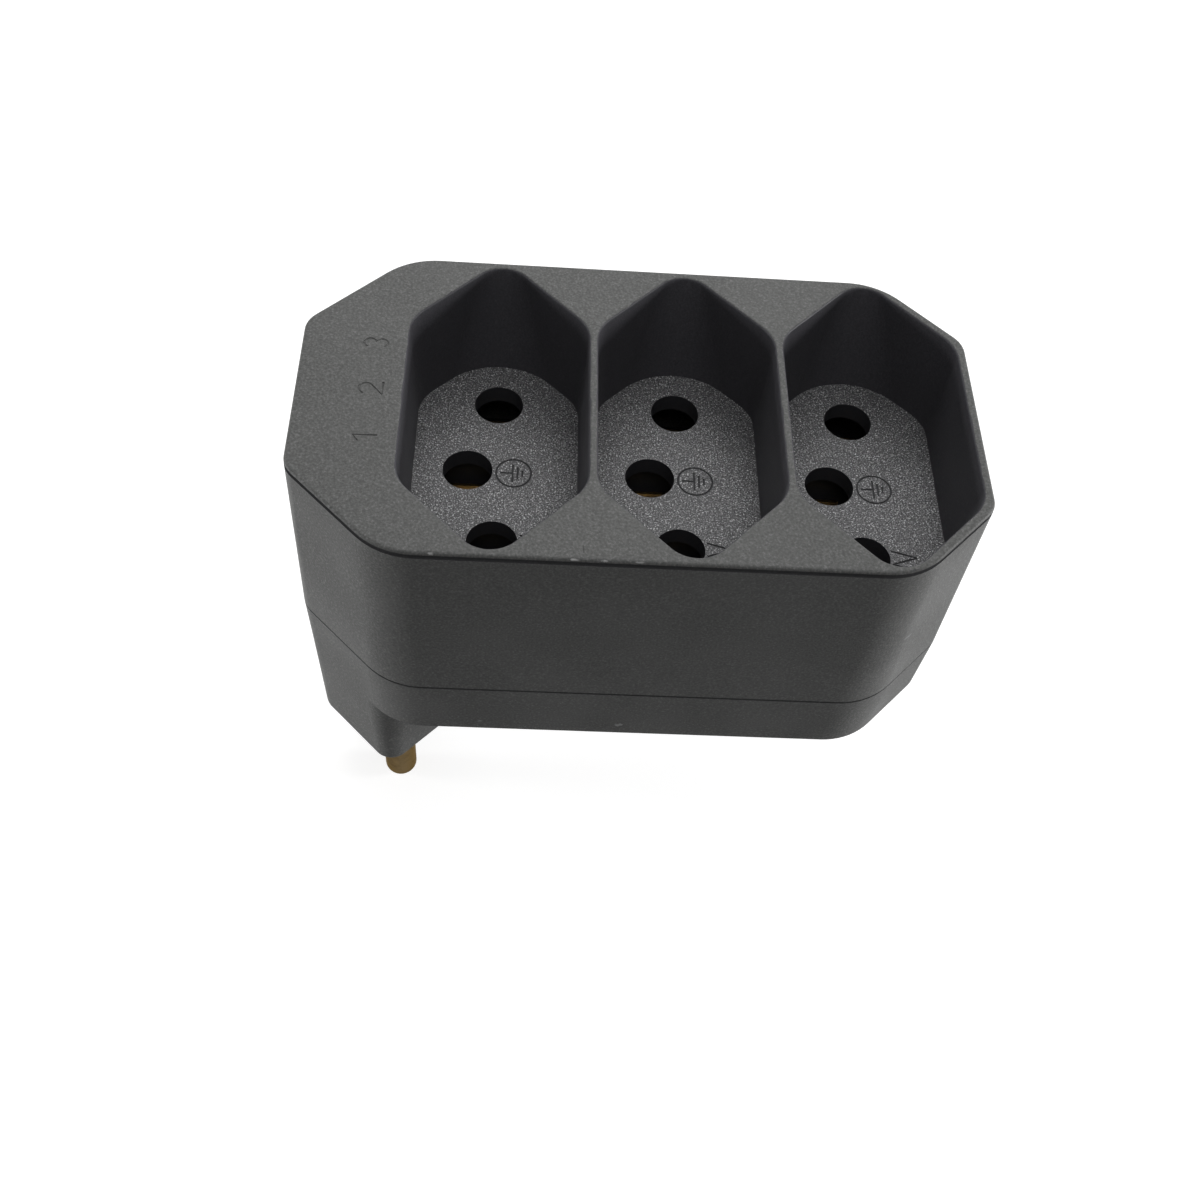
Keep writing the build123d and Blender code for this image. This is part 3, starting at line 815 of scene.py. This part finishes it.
# Each: path, height of the surface in mm, closed or not, groove
marks = []
for x in OUTLET_X:
    centre = (x + EARTH_CENTRE[0], EARTH_CENTRE[1])
    marks.append((arc(centre, EARTH_R, 0, 360, EARTH_STEPS)[:-1], FLOOR_Z, True, FLOOR_GROOVE))
    for stroke in EARTH_SIGN:
        moved = [(centre[0] + a, centre[1] + b) for a, b in stroke]
        marks.append((moved, FLOOR_Z, False, FLOOR_GROOVE))
    letter = reading_back(LETTER_N, (x + N_FOOT[0], N_FOOT[1]), N_HEIGHT)
    marks += [(stroke, FLOOR_Z, False, FLOOR_GROOVE) for stroke in letter]
for digit, y in zip(DIGITS, DIGIT_Y):
    strokes = reading_back(DIGITS[digit], (DIGIT_FOOT_X, y), DIGIT_HEIGHT)
    marks += [(stroke, TOP_Z, False, LAND_GROOVE) for stroke in strokes]
print("strokes to cut:", len(marks))

# %% [markdown]
# Each stroke becomes a thin round bar that dips into the surface. The line under the top edge is a
# bar too, along the outline that a level cut gives. All the bars go into one collection, and one
# Boolean modifier with the exact solver takes them out of the casing together.

# %% Copy, cut and shade
EDGE_LINE_DROP = 0.55
EDGE_LINE_R = 0.28
WELD_REACH = 0.0005 * MM
BAR_ROUNDNESS = 2


def mesh_from(work, name):
    """A new mesh from a bmesh, which is freed."""
    mesh = bpy.data.meshes.new(name)
    work.to_mesh(mesh)
    work.free()
    return mesh


def welded_copy(name, node):
    """A new object with the CAD node's shape, its doubled points welded into one skin."""
    source = nodes[node].data
    mesh = bpy.data.meshes.new(name)
    mesh.from_pydata([v.co for v in source.vertices], [], [p.vertices for p in source.polygons])
    work = bmesh.new()
    work.from_mesh(mesh)
    bmesh.ops.remove_doubles(work, verts=work.verts, dist=WELD_REACH)
    work.to_mesh(mesh)
    work.free()
    return scene_object(name, mesh)


def outer_outline(piece, z):
    """The outermost loop that the level z cuts from a piece, as points in mm."""
    work = bmesh.new()
    work.from_mesh(piece.data)
    everything = work.verts[:] + work.edges[:] + work.faces[:]
    cut = bmesh.ops.bisect_plane(work, geom=everything, plane_co=(0, 0, z * MM), plane_no=(0, 0, 1))
    level_edges = {e for e in cut["geom_cut"] if isinstance(e, bmesh.types.BMEdge)}
    start = min((v for e in level_edges for v in e.verts), key=lambda v: v.co.x)
    loop, here = [start], start
    while True:
        ahead = [e for e in here.link_edges if e in level_edges]
        if not ahead:
            break
        level_edges.discard(ahead[0])
        here = ahead[0].other_vert(here)
        if here is start:
            break
        loop.append(here)
    points = [(v.co.x / MM, v.co.y / MM) for v in loop]
    work.free()
    return points


def round_bar(points, z, closed, radius, material):
    """A thin bar along a path at height z, as a mesh object that carries the material of its cut."""
    curve = bpy.data.curves.new("bar", "CURVE")
    curve.dimensions = "3D"
    curve.bevel_depth = radius * MM
    curve.bevel_resolution = BAR_ROUNDNESS
    curve.use_fill_caps = True
    spline = curve.splines.new("POLY")
    spline.points.add(len(points) - 1)
    for point, (x, y) in zip(spline.points, points):
        point.co = (x * MM, y * MM, z * MM, 1)
    spline.use_cyclic_u = closed
    holder = bpy.data.objects.new("bar", curve)
    mesh = bpy.data.meshes.new_from_object(holder)
    mesh.materials.clear()
    mesh.materials.append(material)
    bpy.data.objects.remove(holder)
    return bpy.data.objects.new("bar", mesh)


def cut_away(piece, cutters):
    """The cutters taken out of the piece by one exact Boolean, which is applied."""
    group = bpy.data.collections.new("cutters")
    bpy.context.scene.collection.children.link(group)
    for cutter in cutters:
        group.objects.link(cutter)
    modifier = piece.modifiers.new("cut", "BOOLEAN")
    modifier.operation = "DIFFERENCE"
    modifier.operand_type = "COLLECTION"
    modifier.collection = group
    modifier.solver = "EXACT"
    modifier.material_mode = "TRANSFER"
    bake_modifiers(piece)
    for cutter in cutters:
        bpy.data.objects.remove(cutter)
    bpy.data.collections.remove(group)


def bake_modifiers(piece):
    """The piece's mesh as its modifiers leave it, with none left on it."""
    depsgraph = bpy.context.evaluated_depsgraph_get()
    mesh = bpy.data.meshes.new_from_object(piece.evaluated_get(depsgraph), depsgraph=depsgraph)
    old = piece.data
    piece.modifiers.clear()
    piece.data = mesh
    bpy.data.meshes.remove(old)
    mesh.name = piece.name


def smooth_faces(piece, angle=35, weight=80):
    """Smooth shading up to an angle, with large flats kept flat beside small rounds."""
    mesh = piece.data
    mesh.shade_smooth()
    mesh.set_sharp_from_angle(angle=math.radians(angle))
    weighted = piece.modifiers.new("flats", "WEIGHTED_NORMAL")
    weighted.keep_sharp = True
    weighted.weight = weight
    bake_modifiers(piece)


casing = welded_copy("front_casing_moulding", "front_casing")
casing.data.materials.append(casing_plastic)
before = len(casing.data.polygons)
bars = [round_bar(path, z + rise, closed, radius, cut) for path, z, closed, (radius, rise, cut) in marks]
edge_line = outer_outline(casing, TOP_Z - EDGE_LINE_DROP)
# The line under the top edge is cut in the dark groove plastic, as painted shade in its groove
bars.append(round_bar(edge_line, TOP_Z - EDGE_LINE_DROP, True, EDGE_LINE_R, groove_shade_plastic))
cut_away(casing, bars)
smooth_faces(casing)
print("casing faces:", before, "before the marks,", len(casing.data.polygons), "after")

# %% [markdown]
# One moulding has several textures on it, so it has several materials. The Boolean hands the material
# of each bar on to the faces that the bar cuts: a dark one on the floors and under the top edge, which
# is painted shade in the groove, and the casing's own for the numbers on the land. Every other face gets
# its material by where it lies: on a well's floor, on a well's wall, in a hole, or outside. The walls and
# holes are darker than the outside, which is painted shade too.

# %% Materials by place
# In mm: half sizes of a well's pointed outline, which stops at RIM_Y because its tips are rounded
WELL_HALF_WIDTH = 9.38
WELL_HALF_FLAT = 10.7
WELL_HALF_LENGTH = 20.3
RIM_Y = 19.3
# In mm: how far below the top a well's wall starts, how near the floor it ends, and how far below
# the floor's level a face still counts as floor
RIM_LIP = 0.05
FLOOR_SKIN = 0.02
FLOOR_DEEP = 0.3
TEXTURES = (casing_plastic, well_wall_shade_plastic, floor_plastic, hole_shade_plastic, groove_shade_plastic)
OUTSIDE, WALL, FLOOR, HOLE, GROOVE = range(len(TEXTURES))


def in_well(x, y, spare=0.25):
    """True inside the six-sided outline of one of the wells."""
    slope = (WELL_HALF_LENGTH - WELL_HALF_FLAT) / WELL_HALF_WIDTH
    for centre in OUTLET_X:
        across = abs(x - centre)
        if across < WELL_HALF_WIDTH + spare:
            reach = WELL_HALF_FLAT + (WELL_HALF_WIDTH - across) * slope + spare
            return abs(y) < min(reach, RIM_Y)
    return False


def texture_at(x, y, z):
    """The texture of a face by where its middle lies, in mm."""
    if z >= TOP_Z - RIM_LIP or not in_well(x, y):
        return OUTSIDE
    if z > FLOOR_Z + FLOOR_SKIN:
        return WALL
    return FLOOR if z > FLOOR_Z - FLOOR_DEEP else HOLE


def place_materials(piece):
    """Gives each face of the casing its texture."""
    mesh = piece.data
    slots = list(mesh.materials)
    grooves = [slots[face.material_index] == groove_shade_plastic for face in mesh.polygons]
    mesh.materials.clear()
    for material in TEXTURES:
        mesh.materials.append(material)
    counts = [0] * len(TEXTURES)
    for face, groove in zip(mesh.polygons, grooves):
        kind = GROOVE if groove else texture_at(*(face.center / MM))
        face.material_index = kind
        counts[kind] += 1
    return counts


print("faces outside, on walls, on floors, in holes, in grooves:", place_materials(casing))
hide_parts("front_casing")
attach(casing, "root")

# %% [markdown]
# ## The screws
#
# The CAD screws are plain, so each gets a domed pan head, a tapered cross recess and a cut thread.
# The head is turned from a half profile, the recess is a Boolean with two tapered bars, and the
# thread is a small ridge that climbs around the shank.

# %% Screw parts
SCREW_PLACES = [(21.32, -16.2), (21.32, 16.2), (40.96, -16.2), (40.96, 16.2)]
HEAD_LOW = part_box("casing_screws")[0].z / MM
POINT_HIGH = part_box("casing_screws")[1].z / MM
HEAD_HEIGHT = 1.8
HEAD_R = 2.6
HEAD_BEVEL = 0.1
# The head's dome: radius, and height above its lowest point
HEAD_DOME = [(1.25, 0.0), (1.75, 0.08), (2.15, 0.26), (2.45, 0.58), (HEAD_R, 1.0)]
# The recess's two ends: height above the head's lowest point, half length and half width of an arm
RECESS_ENDS = [(-0.3, 1.6, 0.4), (1.15, 0.75, 0.22)]
SHANK_R = 1.2
POINT_LENGTH = 1.6
POINT_R = 0.25
# The thread: its crest and pitch, its distance from the head and from the point, half the ridge's
# foot, how much the foot grows with the ridge, how deep it sits in the shank, and its least height
CREST_R = 1.42
THREAD_PITCH = 1.1
THREAD_START = 1.2
THREAD_STOP = 2.2
RIDGE_HALF = 0.12
RIDGE_FLARE = 0.25
RIDGE_SUNK = 0.1
RIDGE_PROUD = 0.02
ROUND_STEPS = 40


def ring(work, radius, z, steps=ROUND_STEPS):
    """A circle of points around the screw's axis."""
    turns = [2 * math.pi * i / steps for i in range(steps)]
    return [work.verts.new((radius * math.cos(a) * MM, radius * math.sin(a) * MM, z * MM)) for a in turns]


def bridge(work, lower, upper):
    """Quads between two rings of the same length."""
    for i in range(len(lower)):
        j = (i + 1) % len(lower)
        work.faces.new((lower[i], lower[j], upper[j], upper[i]))


def screw_blank():
    """The screw before its recess is struck: a domed head, a shank and a point."""
    seat = HEAD_LOW + HEAD_HEIGHT
    work = bmesh.new()
    head = HEAD_DOME + [(HEAD_R, HEAD_HEIGHT - HEAD_BEVEL)]
    profile = [(r, HEAD_LOW + rise) for r, rise in head]
    profile += [(HEAD_R - HEAD_BEVEL, seat), (SHANK_R, seat)]
    profile += [(SHANK_R, POINT_HIGH - POINT_LENGTH), (POINT_R, POINT_HIGH)]
    rings = [ring(work, r, z) for r, z in profile]
    for lower, upper in zip(rings, rings[1:]):
        bridge(work, lower, upper)
    work.faces.new(list(reversed(rings[0])))
    work.faces.new(rings[-1])
    bmesh.ops.recalc_face_normals(work, faces=work.faces)
    return scene_object("screw", mesh_from(work, "screw"))


def recess_bar(angle):
    """One arm of the cross recess: a bar that narrows into the head."""
    work = bmesh.new()
    ends = []
    for rise, half_length, half_width in RECESS_ENDS:
        z = HEAD_LOW + rise
        corners = [(a * half_length, b * half_width) for a, b in SQUARE]
        ends.append([work.verts.new((x * MM, y * MM, z * MM)) for x, y in corners])
    bridge(work, *ends)
    work.faces.new(list(reversed(ends[0])))
    work.faces.new(ends[1])
    bmesh.ops.recalc_face_normals(work, faces=work.faces)
    work.transform(Matrix.Rotation(angle, 4, "Z"))
    return bpy.data.objects.new("recess", mesh_from(work, "recess"))


def thread_ridge(steps=24):
    """A closed ridge with a pointed section, climbing around the shank."""
    work = bmesh.new()
    low = HEAD_LOW + HEAD_HEIGHT + THREAD_START
    turns = (POINT_HIGH - THREAD_STOP - low) / THREAD_PITCH
    count = int(turns * steps)
    sections = []
    for i in range(count + 1):
        a = 2 * math.pi * i / steps
        z = low + THREAD_PITCH * i / steps
        fade = min(1.0, i / steps, (count - i) / steps) * (CREST_R - SHANK_R)
        half = RIDGE_HALF + RIDGE_FLARE * fade
        root = SHANK_R - RIDGE_SUNK
        section = [(root, z - half), (SHANK_R + RIDGE_PROUD + fade, z), (root, z + half)]
        points = [(r * math.cos(a) * MM, r * math.sin(a) * MM, h * MM) for r, h in section]
        sections.append([work.verts.new(point) for point in points])
    for lower, upper in zip(sections, sections[1:]):
        bridge(work, lower, upper)
    work.faces.new(sections[0])
    work.faces.new(list(reversed(sections[-1])))
    bmesh.ops.recalc_face_normals(work, faces=work.faces)
    return work


# %% Four screws as one piece
# Every screw was driven until it was tight, so each stands at its own turn, in radians
FIRST_TURN = 0.6
NEXT_TURN = 1.1

blank = screw_blank()
cut_away(blank, [recess_bar(0), recess_bar(math.pi / 2)])
ridge = thread_ridge()
ridge.from_mesh(blank.data)
together = bmesh.new()
for number, (x, y) in enumerate(SCREW_PLACES):
    spin = Matrix.Rotation(FIRST_TURN + NEXT_TURN * number, 4, "Z")
    turned = Matrix.Translation((x * MM, y * MM, 0)) @ spin
    screw_mesh = bpy.data.meshes.new("one_screw")
    ridge.to_mesh(screw_mesh)
    screw_mesh.transform(turned)
    together.from_mesh(screw_mesh)
    bpy.data.meshes.remove(screw_mesh)
ridge.free()
bpy.data.objects.remove(blank)
screws = scene_object("casing_screws_cut", mesh_from(together, "casing_screws_cut"))
screws.data.materials.append(screw_steel)
smooth_faces(screws)
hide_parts("casing_screws")
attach(screws, "root")
print("screw faces:", len(screws.data.polygons))

# %% [markdown]
# ## Sizes and the end
#
# The box of everything shown is compared with the CAD box, and how far it has grown is printed.

# %% Compare the boxes and finish
seen_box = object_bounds()
cad_sides = (*cad_box[0], *cad_box[1])
seen_sides = (*seen_box[0], *seen_box[1])
print("grown by, mm:", [round((seen - cad) / MM, 3) for cad, seen in zip(cad_sides, seen_sides)])
